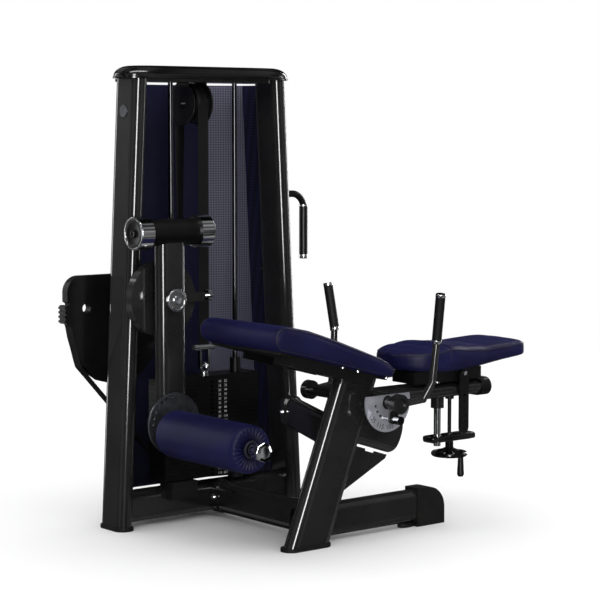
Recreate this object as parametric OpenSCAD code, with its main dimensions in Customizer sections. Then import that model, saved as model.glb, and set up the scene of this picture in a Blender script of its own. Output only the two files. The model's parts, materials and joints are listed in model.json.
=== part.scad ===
// Seated leg extension machine with a selector weight stack.
// +X runs from the lever side to the backrest side, -Y from the weight tower to the bench, +Z up.
// The design is laid out from the middle of the tower's footprint, then shifted by in_frame() so
// that the origin is the bottom centre of the whole machine.

/* [Frame tubes] */
// Long side of the flat-oval upright tube
upright_long = 140; // [120:5:160]
// Thin side of every flat-oval frame tube
tube_thin = 60; // [50:2:64]
// Long side of the beams and the brace
beam_long = 117; // [100:1:125]
// Long side of the slanted bench leg
leg_long = 168; // [150:2:180]
// Wall of the frame tubes
wall = 3; // [2:0.5:4]
// Height at which the uprights end under the cap
tower_top = 1585; // [1585:1:1620]
// Distance of each upright's middle from the tower's centre, at the floor
upright_foot_x = 385; // [380:1:395]
// Lean of each upright towards the other, degrees
upright_lean = 2.88; // [2:0.1:3.2]
// Lean of the bench leg, degrees
leg_lean = 21.3; // [18:0.1:23]

/* [Weight stack] */
// Width of a plate
plate_w = 420; // [400:5:430]
// Depth of a plate
plate_d = 100; // [90:2:110]
// Pitch of the plates
plate_pitch = 16; // [15:0.5:18]
// Plates that lie below the head plate
plate_count = 22; // [16:1:24]
// Plates that the pin lifts in the stored pose
plates_lifted = 10; // [1:1:16]
// Distance of each guide rod from the middle
rod_x = 142; // [130:1:150]
// Diameter of a guide rod
rod_d = 18; // [16:1:25]

/* [Lever] */
// Pivot axis of the lever: distance from the tower's centre, negative is left
pivot_x = -270; // [-275:1:-265]
// Height of the pivot axis
pivot_z = 820; // [810:1:830]
// Radius of the index disc
disc_r = 135; // [120:1:140]
// Diameter of the ankle roller
roller_d = 164; // [140:2:180]
// Length of the ankle roller
roller_len = 445; // [400:5:460]

/* [Bench] */
// Middle of the bench across the seat, negative is towards the user's free side
bench_y = -560; // [-565:1:-555]
// Width of the seat
seat_w = 436; // [400:2:440]
// Recline axis of the backrest along the tower's width
recline_x = 235; // [230:1:240]
// Height of the recline axis
recline_z = 478; // [474:1:482]
// Width of the backrest
back_w = 300; // [280:2:320]
// Diameter of the handwheel
wheel_d = 134; // [120:2:150]

/* [Hidden] */
$fn = 64;
BIG = 3000;

// colours
CHARCOAL = [0.14, 0.14, 0.15];
BLACK = [0.05, 0.05, 0.05];
CHROME = [0.82, 0.83, 0.85];
ALUMINIUM = [0.75, 0.76, 0.78];
NAVY = [0.08, 0.08, 0.26];
SHEET_BLUE = [0.12, 0.12, 0.32];
SHEET_LIGHT = [0.36, 0.36, 0.44];
RUBBER = [0.03, 0.03, 0.03];

// where the machine's bounding box has its middle, from the tower's centre
mid_x = 221;
mid_y = -331.875;

// frame heights and places
pad_t = 12;
beam_z0 = 15;
beam_mid_z = beam_z0 + beam_long / 2;
beam_top = beam_z0 + beam_long;
spine_x = 41;
foot_y = -615;
leg_y = -670;
leg_foot_x = -70;
leg_slope = tan(leg_lean);
brace_z = 360;
brace_from = [352, -60];
brace_to = [100, -640];
foot_end_x = 462;
end_r = 80;
end_w = 68;
shroud_foot = 140;
shroud_top = 1570;
window_z = [320, 1080];
cap_h = 45;
fit = 0.05;

// weight stack
stack_top = 504;
head_t = 16;
boss_r = 19;
pin_r = 4.5;
seat_slope = 14.8;
pin_z = stack_top - (plates_lifted - 0.5) * plate_pitch;
stack_bottom = stack_top - plate_count * plate_pitch;
rod_hole_r = 14;

// belt run
belt_w = 44;
belt_t = 3;
rear_run_y = 145;
clamp_z = 620;
top_pulley_r = 70;
pulley_axis_y = rear_run_y / 2;
top_pulley_z = 1500;

low_pulley_r = 45;
low_pulley_x = -low_pulley_r;
low_pulley_z = 190;
belt_end = [[-444, 565], [-452, 590], [-463, 630], [-476.5, 675], [-484, 712], [-490, 728], [-490, 785]];
belt_rise = 48;
belt_foot = 270 - belt_rise;
belt_foot_at = [low_pulley_x + low_pulley_r * cos(belt_foot), low_pulley_z + low_pulley_r * sin(belt_foot)];
seam = 0.2;

// lever
lever_y = -170;
lever_w = 115;
lever_low = 452;
weight_z = 1053;
shaft_r = 20;
cam_y = 128;
cam_t = 34;
sector_y = -208;
sector_z = 390;
roller_x = pivot_x - 33;
roller_z = 362;
roller_y0 = -236;

// bench
stub_slope = 18;
// a little thinner than the leg it is welded to
stub_thin = 57;
housing_y = [-738, -634];
back_z = 470;
column_x = 637;
screw_x = 698;
bar_x = 702;
ridge_x = 590;
back_end_x = 955;
wheel_z = 228;

module in_frame() translate([-mid_x, -mid_y, 0]) children();

// flat oval outline: two straight sides and two half circles
module oval(long, thin) {
    square([long - thin, thin], center = true);
    for (s = [-1, 1])
        translate([s * (long - thin) / 2, 0]) circle(d = thin);
}

// oval tube along +Z, long side along X
module oval_tube(long, thin, length) {
    linear_extrude(length) difference() {
        oval(long, thin);
        oval(long - 2 * wall, thin - 2 * wall);
    }
}

module oval_bar(long, thin, length) linear_extrude(length) oval(long, thin);

// a cylinder along +Y from y0 to y1
module along_y(r, y0, y1) translate([0, y1, 0]) rotate([90, 0, 0]) cylinder(r = r, h = y1 - y0);

// a cylinder along +X from x0 to x1
module along_x(r, x0, x1) translate([x0, 0, 0]) rotate([0, 90, 0]) cylinder(r = r, h = x1 - x0);

// a round bar between two points
module rod_between(a, b, r) {
    d = b - a;
    translate(a) rotate([0, acos(d[2] / norm(d)), atan2(d[1], d[0])]) cylinder(r = r, h = norm(d));
}

// places a leaning upright, side -1 is left and 1 is right
module at_upright(side) {
    translate([side * upright_foot_x, 0, 0]) rotate([0, -side * upright_lean, 0])
        rotate([0, 0, 90]) children();
}

module upright_envelope() {
    for (side = [-1, 1])
        at_upright(side) translate([0, 0, -50]) oval_bar(upright_long, tube_thin, BIG);
}

module at_leg() translate([leg_foot_x, leg_y, 0]) rotate([0, leg_lean, 0]) children();

module leg_envelope() at_leg() translate([0, 0, -100]) oval_bar(leg_long, tube_thin, 1200);

module slab(z0, z1) translate([-BIG / 2, -BIG / 2, z0]) cube([BIG, BIG, z1 - z0]);

// centre of the upright at height z
function upright_x(z) = upright_foot_x - z * tan(upright_lean);
// middle of the leg at height z
function leg_x(z) = leg_foot_x + z * leg_slope;

/* frame */
module uprights() color(CHARCOAL) in_frame() {
    intersection() {
        for (side = [-1, 1])
            at_upright(side) translate([0, 0, -50]) oval_tube(upright_long, tube_thin, 1800);
        slab(pad_t, tower_top);
    }
}

module base_beam() color(CHARCOAL) in_frame() {
    difference() {
        translate([-upright_foot_x, 0, beam_mid_z]) rotate([90, 0, 90])
            rotate([0, 0, 90]) oval_tube(beam_long, tube_thin, 2 * upright_foot_x);
        upright_envelope();
    }
}

module spine_beam() color(CHARCOAL) in_frame() {
    translate([spine_x, -tube_thin / 2, beam_mid_z]) rotate([90, 0, 0])
        rotate([0, 0, 90]) oval_tube(beam_long, tube_thin, -foot_y - tube_thin);
}

module foot_beam() color(CHARCOAL) in_frame() {
    difference() {
        translate([leg_x(beam_mid_z) - 30, foot_y, beam_mid_z]) rotate([90, 0, 90])
            rotate([0, 0, 90]) oval_tube(beam_long, tube_thin, foot_end_x - leg_x(beam_mid_z) + 30);
        leg_envelope();
    }
}

module bench_leg() color(CHARCOAL) in_frame() {
    intersection() {
        at_leg() translate([0, 0, -100]) oval_tube(leg_long, tube_thin, 1000);
        slab(pad_t, BIG);
        seat_underside();
    }
}

// everything under the seat board
module seat_underside() {
    translate([-235, -BIG / 2, 677]) rotate([0, seat_slope, 0])
        translate([-BIG / 2, 0, -BIG]) cube([BIG, BIG, BIG]);
}

module pivot_stub() color(CHARCOAL) in_frame() {
    // short tube from the leg to the recline housing, closed by a curved end
    difference() {
        intersection() {
            translate([50, leg_y, 448]) rotate([0, 90 + stub_slope, 0])
                oval_bar(150, stub_thin, 420);
            translate([214, 0, 392]) along_y(131, leg_y - 100, leg_y + 100);
        }
        leg_envelope();
        translate([recline_x, 0, recline_z]) along_y(32, leg_y - 200, leg_y + 200);
    }
}

// housing that the recline shaft turns in
module recline_housing() color(CHARCOAL) in_frame() {
    difference() {
        translate([recline_x, 0, recline_z]) along_y(32, housing_y[0], housing_y[1]);
        translate([recline_x, 0, recline_z]) along_y(shaft_r + fit, -BIG / 2, 0);
        leg_envelope();
    }
}

module stub_gusset() color(CHARCOAL) in_frame() {
    difference() {
        translate([0, leg_y + 4, 0]) rotate([90, 0, 0]) linear_extrude(8)
            polygon([[140, 331], [292, 282], [285, 270], [88, 175]]);
        leg_envelope();
        translate([215, leg_y, 304]) rotate([0, stub_slope, 0]) cube([46, 30, 9], center = true);
    }
}

module brace_axis() {
    d = brace_to - brace_from;
    translate([brace_from[0], brace_from[1], brace_z])
        rotate([0, 0, atan2(d[1], d[0])]) rotate([90, 0, 90]) rotate([0, 0, 90]) children();
}

module brace_tube() color(CHARCOAL) in_frame() {
    difference() {
        brace_axis() oval_tube(beam_long, tube_thin, norm(brace_to - brace_from) + 20);
        upright_envelope();
        leg_envelope();
    }
}

// flared collars that wrap the tube they bolt to
module joint_collars() color(CHARCOAL) in_frame() {
    difference() {
        union() {
            difference() {
                brace_axis() oval_bar(beam_long + 12, tube_thin + 12, 46);
                brace_axis() translate([0, 0, -1]) oval_bar(beam_long, tube_thin, 60);
            }
            difference() {
                translate([spine_x, -tube_thin / 2, beam_mid_z]) rotate([90, 0, 0])
                    rotate([0, 0, 90]) oval_bar(beam_long + 8, tube_thin + 12, 34);
                translate([spine_x, 10, beam_mid_z]) rotate([90, 0, 0])
                    rotate([0, 0, 90]) oval_bar(beam_long, tube_thin, 80);
            }
        }
        upright_envelope();
    }
}

module hex_bolt(r, h) {
    cylinder(r = 1.5 * r, h = 1.5);
    difference() {
        translate([0, 0, 1.5]) cylinder(r = r, h = h);
        translate([0, 0, h - 1]) cylinder(r = r / 2, h = 4, $fn = 6);
    }
}

// bolts of the two collars and the screws of the shroud's side
module screws() color(CHROME) in_frame() {
    brace_axis() translate([0, (tube_thin + 12) / 2, 26]) rotate([-90, 0, 0]) hex_bolt(8, 6);
    translate([spine_x - tube_thin / 2 - 6, -48, beam_mid_z]) rotate([0, -90, 0]) hex_bolt(8, 6);
    for (z = [150, 880, 1520])
        translate([(fold(0, z)[0] + fold(1, z)[0]) / 2 - 1, (fold(0, z)[1] + fold(1, z)[1]) / 2, z])
            rotate([0, -90, -18.4]) cylinder(r = 8, h = 4);
}

// rubber plates under the uprights and the leg, and the rounded end piece of the foot beam
module feet() color(RUBBER) in_frame() {
    for (side = [-1, 1])
        translate([side * (upright_foot_x - 1), 0, 0]) rotate([0, 0, 90])
            oval_bar(upright_long + 12, tube_thin + 14, pad_t);
    translate([leg_foot_x + 2, leg_y, 0]) oval_bar(leg_long + 30, tube_thin + 12, pad_t);
    translate([foot_end_x - 30, foot_y, 0]) oval_bar(60, 40, beam_z0);
    translate([foot_end_x, foot_y + end_w / 2, 0]) rotate([90, 0, 0]) linear_extrude(end_w) {
        square([130 - end_r, 138]);
        square([130, 138 - end_r]);
        intersection() {
            translate([130 - end_r, 138 - end_r]) circle(end_r);
            square([130, 138]);
        }
    }
}

// lid with round ends and a rolled top edge
module lid_edge(c, e, h) {
    square([c - e, h]);
    square([c, h - e]);
    intersection() {
        translate([c - e, h - e]) circle(e);
        square([c, h]);
    }
}

module top_cap() color(BLACK) in_frame() {
    half_x = 364;
    c = 88;
    e = 38;
    translate([0, 0, tower_top]) {
        for (s = [-1, 1]) {
            translate([s * (half_x - c), 0, 0]) rotate_extrude() lid_edge(c, e, cap_h);
            rotate([0, 0, 90 * s]) translate([0, half_x - c, 0]) rotate([90, 0, 0])
                linear_extrude(2 * (half_x - c)) lid_edge(c, e, cap_h);
        }
    }
}

module crossbar() color(CHARCOAL) in_frame() {
    difference() {
        translate([-upright_x(tower_top), -36, tower_top - 10])
            cube([2 * upright_x(tower_top), 142, 10]);
        upright_envelope();
        for (s = [-1, 1])
            translate([s * rod_x, 0, tower_top - 20]) cylinder(d = rod_d, h = 40);
    }
}

module name_badge() color(ALUMINIUM) in_frame() {
    // plain round badge without any mark
    translate([-upright_x(1472) - tube_thin / 2, 0, 1472]) rotate([0, upright_lean - 90, 0])
        cylinder(r = 22, h = 3);
}

/* rear shroud */
// corner of the folded sheet at height z, from the right upright round the back to the left one
function fold(i, z) = let (d = (shroud_top - z) * tan(upright_lean)) [
    [335 + d, 55], [300 + d, 160], [170, 210], [-170, 210], [-265 - d, 148], [-303 - d, 76]][i];

// flat stretch of sheet between two neighbouring corners
module sheet(i, z0, z1) {
    hull()
        for (c = [i, i + 1])
            for (z = [z0, z1 - 1])
                translate([fold(c, z)[0], fold(c, z)[1], z]) cylinder(r = 1, h = 1, $fn = 12);
}

module shroud() color(SHEET_BLUE) in_frame() {
    difference() {
        union() {
            sheet(0, shroud_foot, shroud_top);
            sheet(2, shroud_foot, shroud_top);
            // the side is open between these heights, where the cam swings through
            for (i = [3, 4]) {
                sheet(i, shroud_foot, window_z[0]);
                sheet(i, window_z[1], shroud_top);
            }
        }
        upright_envelope();
    }
}

module shroud_strip() color(SHEET_LIGHT) in_frame() {
    difference() {
        sheet(1, shroud_foot, shroud_top);
        sheet(0, shroud_foot - 5, shroud_top + 5);
        sheet(2, shroud_foot - 5, shroud_top + 5);
    }
}

/* weight stack */
module guide_rods() color(CHROME) in_frame() {
    for (s = [-1, 1])
        translate([s * rod_x, 0, beam_top]) cylinder(d = rod_d, h = tower_top - beam_top - 5);
}

// rubber stops under the stack, and the clamp block that ties the left rod to the base beam
module base_blocks() color(BLACK) in_frame() {
    difference() {
        union() {
            for (s = [-1, 1])
                translate([s * rod_x, 0, beam_top - 3])
                    cylinder(r = 28, h = stack_bottom - beam_top + 2.8);
            translate([-190, -66, 86]) cube([112, 66, 62]);
        }
        for (s = [-1, 1])
            translate([s * rod_x, 0, 0]) cylinder(d = rod_d, h = BIG);
        translate([0, 0, beam_mid_z]) rotate([90, 0, 90]) rotate([0, 0, 90])
            translate([0, 0, -BIG / 2]) oval_bar(beam_long, tube_thin, BIG);
    }
}

// one plate, top face at z
module plate(z) {
    difference() {
        union() {
            translate([-plate_w / 2, -plate_d / 2, z - plate_pitch + 0.3])
                cube([plate_w, plate_d, plate_pitch - 0.6]);
            for (x = [-rod_x, 0, rod_x])
                translate([x, 0, z - plate_pitch + 0.1]) cylinder(r = boss_r, h = plate_pitch - 0.2);
        }
        for (x = [-rod_x, 0, rod_x])
            translate([x, 0, z - plate_pitch - 1]) cylinder(r = rod_hole_r, h = plate_pitch + 2);
        translate([0, 0, z - plate_pitch / 2]) along_y(pin_r + 0.5, -plate_d, 0);
    }
}

module resting_plates() color(BLACK) in_frame() {
    for (i = [plates_lifted:plate_count - 1])
        plate(stack_top - i * plate_pitch);
}

module lifted_plates() color(BLACK) in_frame() {
    for (i = [0:plates_lifted - 1])
        plate(stack_top - i * plate_pitch);
}

module head_plate() color(BLACK) in_frame() {
    difference() {
        union() {
            translate([-plate_w / 2, -plate_d / 2, stack_top]) cube([plate_w, plate_d, head_t]);
            // guide sleeves that slide on the rods
            for (s = [-1, 1])
                translate([s * rod_x, 0, stack_top]) cylinder(r = 20, h = 68);
        }
        for (s = [-1, 1])
            translate([s * rod_x, 0, stack_top - 1]) cylinder(d = rod_d + 2 * fit, h = 100);
        translate([0, 0, stack_top - 1]) cylinder(r = 11, h = 40);
    }
}

module selector_rod() color(CHROME) in_frame() {
    difference() {
        union() {
            translate([0, 0, stack_bottom + 4]) cylinder(r = 11, h = stack_top + 26 - stack_bottom);
            translate([0, 0, stack_top + head_t]) cylinder(r = 17, h = 14);
        }
        for (i = [0:plate_count - 1])
            translate([0, 0, stack_top - (i + 0.5) * plate_pitch]) along_y(pin_r + 0.4, -30, 30);
    }
    // eye that the belt clamp hooks into
    translate([0, 0, stack_top + head_t + 26]) rotate([0, 90, 0]) rotate_extrude()
        translate([16, 0]) circle(5);
}

module selector_pin() color(CHROME) in_frame() {
    translate([0, 0, pin_z]) {
        along_y(pin_r, -plate_d / 2 - 12, 10);
        along_y(13, -plate_d / 2 - 20, -plate_d / 2 - 8);
        along_y(7, -plate_d / 2 - 34, -plate_d / 2 - 20);
        along_y(16, -plate_d / 2 - 44, -plate_d / 2 - 34);
    }
}

/* belt */
module belt_clamp() color(CHROME) in_frame() {
    difference() {
        translate([0, 0, clamp_z]) along_x(11, -46, 46);
        translate([-belt_w / 2 - 1, -belt_t / 2, clamp_z - 20]) cube([belt_w + 2, belt_t, 40]);
    }
    for (s = [-1, 1])
        translate([s * 18 - 4, -7, stack_top + head_t + 22]) cube([8, 14, clamp_z - stack_top - head_t - 28]);
    translate([0, 0, stack_top + head_t + 32.3]) along_x(4.5, -22, 22);
}

module lift_belt() color(BLACK) in_frame() {
    translate([-belt_w / 2, -belt_t / 2, clamp_z - 5])
        cube([belt_w, belt_t, top_pulley_z - clamp_z + 5]);
}

// flat strip of belt through points in the XZ plane, in the plane of the rear run
function unit(v) = v / norm(v);
// unit vector square to the strip at point i of its line
function strip_normal(pts, i) = let (
    a = i > 0 ? unit(pts[i] - pts[i - 1]) : unit(pts[1] - pts[0]),
    b = i < len(pts) - 1 ? unit(pts[i + 1] - pts[i]) : a,
    m = unit(a + b)) [-m[1], m[0]] / (m * a);

module belt_strip(pts) {
    translate([0, rear_run_y + belt_w / 2, 0]) rotate([90, 0, 0]) linear_extrude(belt_w)
        polygon([for (i = [0:len(pts) - 1]) pts[i] + strip_normal(pts, i) * belt_t / 2,
            for (i = [len(pts) - 1:-1:0]) pts[i] - strip_normal(pts, i) * belt_t / 2]);
}

module return_belt() color(BLACK) in_frame() {
    // half wrap over the top pulley
    difference() {
        translate([0, pulley_axis_y, top_pulley_z])
            along_x(pulley_axis_y + belt_t / 2, -belt_w / 2, belt_w / 2);
        translate([0, pulley_axis_y, top_pulley_z]) along_x(pulley_axis_y - belt_t / 2, -BIG, BIG);
        slab(0, top_pulley_z);
    }
    // rear run, turned a quarter on its way down
    translate([0, rear_run_y, low_pulley_z + seam])
        linear_extrude(top_pulley_z - low_pulley_z - 2 * seam, twist = -90, slices = 18)
            square([belt_t, belt_w], center = true);
    // wrap under the low pulley
    translate([low_pulley_x, 0, low_pulley_z]) difference() {
        along_y(low_pulley_r + belt_t / 2, rear_run_y - belt_w / 2, rear_run_y + belt_w / 2);
        along_y(low_pulley_r - belt_t / 2, 0, BIG);
        translate([-BIG / 2, 0, 0]) cube([BIG, BIG, BIG]);
        rotate([0, belt_rise, 0]) translate([-BIG, 0, -BIG / 2]) cube([BIG, BIG, BIG]);
    }
    // straight run up to the cam
    belt_strip([belt_foot_at - seam * unit(belt_foot_at - belt_end[0]), belt_end[0]
        + 4 * seam * unit(belt_foot_at - belt_end[0])]);
}

// end of the belt, laid along the cam's edge into its clamp
module cam_belt() color(BLACK) in_frame() belt_strip(belt_end);

module top_pulley() color(BLACK) in_frame() {
    r = pulley_axis_y;
    translate([0, r, top_pulley_z]) difference() {
        union() {
            along_x(r - belt_t / 2 - 0.3, -belt_w / 2 - 4, belt_w / 2 + 4);
            for (s = [-1, 1])
                translate([s * (belt_w / 2 + 5.5) - 2, 0, 0]) along_x(r + 2, 0, 4);
        }
        along_x(10 + fit, -60, 60);
    }
}

module pulley_cheeks() color(CHARCOAL) in_frame() intersection() {
    union() {
        for (s = [-1, 1])
            translate([s * 40 - 2.5, 0, 0]) {
                translate([0, pulley_axis_y, top_pulley_z]) along_x(78, 0, 5);
                // hanger up to the crossbar
                translate([0, pulley_axis_y - 40, top_pulley_z]) cube([5, 70, 90]);
            }
        translate([0, pulley_axis_y, top_pulley_z]) {
            along_x(10, -52, 52);
            for (s = [-1, 1])
                translate([s * 46 - 3.5, 0, 0]) along_x(13, 0, 7);
        }
    }
    slab(0, tower_top - 10);
}

module bottom_pulley() color(BLACK) in_frame() {
    translate([low_pulley_x, rear_run_y, low_pulley_z]) difference() {
        union() {
            along_y(low_pulley_r - belt_t / 2 - 0.3, -belt_w / 2 - 1, belt_w / 2 + 1);
            for (s = [-1, 1])
                translate([0, s * (belt_w / 2 + 2) - 1, 0]) along_y(low_pulley_r + 4, 0, 2);
        }
        along_y(8 + fit, -60, 60);
    }
}

module bottom_bracket() color(CHARCOAL) in_frame() {
    translate([low_pulley_x, rear_run_y, low_pulley_z]) along_y(8, -36, 32);
    // front cheek rises from the base beam's back
    translate([low_pulley_x - 30, rear_run_y - 34, 60]) cube([60, 6, low_pulley_z - 60 + 24]);
    translate([low_pulley_x - 30, rear_run_y + 26, 60]) cube([60, 6, low_pulley_z - 60 + 24]);
    difference() {
        translate([low_pulley_x - 30, 0, 60]) cube([60, rear_run_y + 26, 8]);
        translate([0, 0, beam_mid_z]) rotate([90, 0, 90]) rotate([0, 0, 90])
            translate([0, 0, -BIG / 2]) oval_bar(beam_long, tube_thin, BIG);
    }
}

/* lever shaft */
module at_pivot() translate([pivot_x, 0, pivot_z]) children();

module bearing_housing() color(CHARCOAL) in_frame() {
    difference() {
        union() {
            at_pivot() along_y(33, -92, 88);
            translate([-upright_x(pivot_z), -60, pivot_z - 40]) cube([70, 12, 80]);
            translate([-upright_x(pivot_z), 48, pivot_z - 40]) cube([70, 12, 80]);
        }
        at_pivot() along_y(shaft_r + fit, -200, 200);
        upright_envelope();
    }
}

module cam_shaft() color(CHROME) in_frame() {
    at_pivot() along_y(shaft_r, -206, cam_y + cam_t + 8);
}

module index_disc() color(CHARCOAL) in_frame() {
    difference() {
        at_pivot() along_y(disc_r, -134, -98);
        at_pivot() along_y(shaft_r, -200, 200);
        // face bolt hole and the radial index holes in the rim
        translate([pivot_x + 104, 0, pivot_z]) along_y(7, -140, -124);
        for (a = [0:12.5:62.5])
            at_pivot() translate([0, -116, 0]) rotate([0, a, 0]) along_x(6, disc_r - 18, disc_r + 4);
    }
}

module cam_outline() {
    // flat top, round upper left, a recess for the belt clamp, then a growing radius for the belt
    polygon([[-171, 72], [144, 72], [143, -142], [138, -236], [73, -301], [20, -321], [-57, -318],
        [-94, -308], [-126, -286], [-169, -244], [-190, -190], [-203, -145], [-211, -108],
        [-218.4, -95], [-218.4, -25], [-229, -18], [-229, 14], [-171, 14]]);
    translate([-171, 14]) circle(58);
}

module belt_cam() color(BLACK) in_frame() {
    difference() {
        union() {
            at_pivot() translate([0, cam_y + cam_t, 0]) rotate([90, 0, 0])
                linear_extrude(cam_t) cam_outline();
            at_pivot() along_y(38, 92, cam_y);
        }
        at_pivot() along_y(shaft_r, -200, 200);
        at_pivot() translate([-149, 0, -44]) along_y(17.5, 0, 200);
        at_pivot() translate([-96, 0, -170]) along_y(12, cam_y + 20, 200);
    }
}

module cam_belt_clamp() color(BLACK) in_frame() at_pivot() {
    translate([-238, cam_y - 5, -95]) cube([16.4, belt_w, 65]);
    for (k = [0:3])
        translate([-243, cam_y - 5, -91 + 16 * k]) cube([6, belt_w, 8]);
}

/* lever */
module lever() color(CHARCOAL) in_frame() {
    difference() {
        translate([pivot_x, lever_y, lever_low]) oval_tube(lever_w, tube_thin, weight_z - lever_low - 10);
        at_pivot() along_y(30, -220, -120);
        translate([0, lever_y, weight_z]) along_x(46, -BIG, BIG);
    }
    difference() {
        at_pivot() along_y(30, lever_y - tube_thin / 2, lever_y + tube_thin / 2);
        at_pivot() along_y(shaft_r + fit, -250, 0);
    }
    // lug behind the tube that carries the index plunger
    difference() {
        translate([pivot_x + 20, -146, pivot_z - 16]) cube([disc_r + 14, 8, 32]);
        at_pivot() along_y(30, -220, -120);
    }
    difference() {
        translate([pivot_x + disc_r + 2, -146, pivot_z - 16]) cube([28, 46, 32]);
        translate([pivot_x, -116, pivot_z]) along_x(5 + fit, 0, 400);
    }
}

module pivot_cap() color(CHROME) in_frame() {
    difference() {
        at_pivot() along_y(40, -216, -206);
        at_pivot() translate([0, -212, 0]) rotate([90, 0, 0]) cylinder(r = 8, h = 20, $fn = 6);
    }
}

module counterweight() color(BLACK) in_frame() {
    translate([pivot_x + 5, lever_y, weight_z]) along_x(46, -102, 102);
}

module weight_discs() color(CHROME) in_frame() {
    difference() {
        for (s = [-1, 1])
            translate([pivot_x + 5 + s * 127 - 25, lever_y, weight_z]) along_x(57, 0, 50);
        for (s = [-1, 1])
            translate([pivot_x + 5 + s * 148 - 5, lever_y, weight_z]) rotate([0, 90, 0])
                cylinder(r = 11, h = 10, $fn = 6);
    }
}

module index_plunger() color(CHROME) in_frame() {
    translate([pivot_x, -116, pivot_z]) {
        along_x(5, disc_r + 1, disc_r + 62);
        along_x(9, disc_r + 34, disc_r + 62);
        for (a = [0:60:300])
            translate([disc_r + 62, 0, 0]) rotate([a, 0, 0]) translate([0, 15, 0]) along_x(7, 0, 16);
        along_x(16, disc_r + 62, disc_r + 78);
    }
}

/* ankle roller */
module ankle_sector() color(ALUMINIUM) in_frame() {
    c = [pivot_x - 8, sector_z];
    difference() {
        union() {
            translate([c[0], 0, c[1]]) along_y(108, sector_y, sector_y + 8);
            translate([pivot_x + 44, 0, sector_z + 40]) along_y(34, sector_y, sector_y + 8);
        }
        // index holes on an arc
        for (a = [98:13:176])
            translate([c[0] + 94 * cos(a), 0, c[1] + 94 * sin(a)]) along_y(7.5, -300, 0);
        translate([c[0], 0, c[1]]) along_y(22 + fit, -300, 0);
        // the plate's lower right is cut away
        translate([c[0] + 58, -300, c[1] - 160]) cube([200, 300, 170]);
    }
    // plug that closes the lever's foot and carries the plate
    translate([pivot_x, lever_y, lever_low - 16]) oval_bar(lever_w, tube_thin, 16);
}

module ankle_crank() color(CHROME) in_frame() {
    c = [pivot_x - 8, sector_z];
    translate([c[0], 0, c[1]]) along_y(22, sector_y - 4, sector_y + 18);
    translate([c[0], 0, c[1]]) along_y(46, sector_y - 12, sector_y - 1);
    translate([roller_x, 0, roller_z]) {
        along_y(13, roller_y0 - roller_len - 60, sector_y - 6);
        along_y(22, roller_y0 - roller_len - 22, roller_y0 - roller_len - 8);
        along_y(29, roller_y0 - roller_len - 62, roller_y0 - roller_len - 30);
    }
}

module roller_tube() color(BLACK) in_frame() {
    difference() {
        translate([roller_x, 0, roller_z]) along_y(20, roller_y0 - roller_len - 4, roller_y0 + 4);
        translate([roller_x, 0, roller_z]) along_y(13 + fit, -BIG, 0);
    }
}

module ankle_roller() color(NAVY) in_frame() {
    difference() {
        translate([roller_x, 0, roller_z]) along_y(roller_d / 2, roller_y0 - roller_len, roller_y0);
        translate([roller_x, 0, roller_z]) along_y(20.3, -BIG, 0);
    }
}

/* seat */
module seat_pad() color(NAVY) in_frame() {
    translate([0, bench_y + seat_w / 2, 0]) rotate([90, 0, 0]) linear_extrude(seat_w) {
        translate([-235, 729]) circle(43);
        polygon([[-235, 729], [-224, 770.5], [-120, 747], [0, 706], [185, 636], [240, 604], [248, 588],
            [238, 560.8], [-242, 687.5]]);
    }
}

module seat_frame() color(BLACK) in_frame() {
    // base board right under the pad, and the channel that bolts to the leg
    difference() {
        translate([-235, bench_y - 190, 685.6]) rotate([0, seat_slope, 0]) {
            translate([0, 0, -8.4]) cube([475, 380, 8]);
            for (y = [0, 100, 270])
                translate([60, y, -34]) cube([330, 6, 26]);
            translate([60, 0, -40]) cube([330, 106, 6]);
            translate([60, 0, -40]) cube([6, 106, 36]);
        }
        leg_envelope();
    }
}

/* recline pivot */
module at_recline() translate([recline_x, 0, recline_z]) children();

module scale_disc() color(ALUMINIUM) in_frame() {
    difference() {
        at_recline() along_y(102, housing_y[0] - 5, housing_y[0]);
        at_recline() along_y(24, -BIG, 0);
        // the disc's top is cut level with the housing
        translate([recline_x - 150, -BIG / 2, recline_z + 26]) cube([300, BIG, 200]);
        for (a = [-171:22:-61])
            translate([recline_x + 55 * cos(a), 0, recline_z + 55 * sin(a)]) along_y(5, -BIG, 0);
    }
}

module back_carrier() color(CHARCOAL) in_frame() {
    difference() {
        union() {
            at_recline() along_y(34, -625, -495);
            translate([recline_x, bench_y, back_z]) rotate([0, 90, 0]) rotate([0, 0, 90])
                oval_tube(120, 52, 800 - recline_x);
            translate([column_x, bench_y, 402]) cylinder(r = 24, h = 92);
            translate([screw_x, bench_y, 430]) cylinder(r = 16, h = 64);
        }
        translate([column_x, bench_y, 0]) cylinder(r = 13 + fit, h = BIG);
        translate([screw_x, bench_y, 0]) cylinder(r = 7 + fit, h = BIG);
        at_recline() along_y(shaft_r, -BIG, 0);
    }
    at_recline() along_y(shaft_r, -806, -314);
}

module carrier_cap() color(BLACK) in_frame() {
    translate([800, bench_y, back_z]) rotate([0, 90, 0]) rotate([0, 0, 90]) oval_bar(134, 66, 46);
}

// one side's bent bar, side -1 is the near side
module handle_bar(side, r) {
    y0 = bench_y;
    pts = [[370, y0 + side * 298, 840], [378, y0 + side * 272, 690], [366, y0 + side * 264, 545],
        [340, y0 + side * 246, 486], [recline_x + 20, y0 + side * 238, recline_z]];
    for (i = [0:len(pts) - 2]) {
        rod_between(pts[i + 1], pts[i], r);
        if (i < len(pts) - 2)
            translate(pts[i + 1]) sphere(r + 0.5);
    }
}

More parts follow.
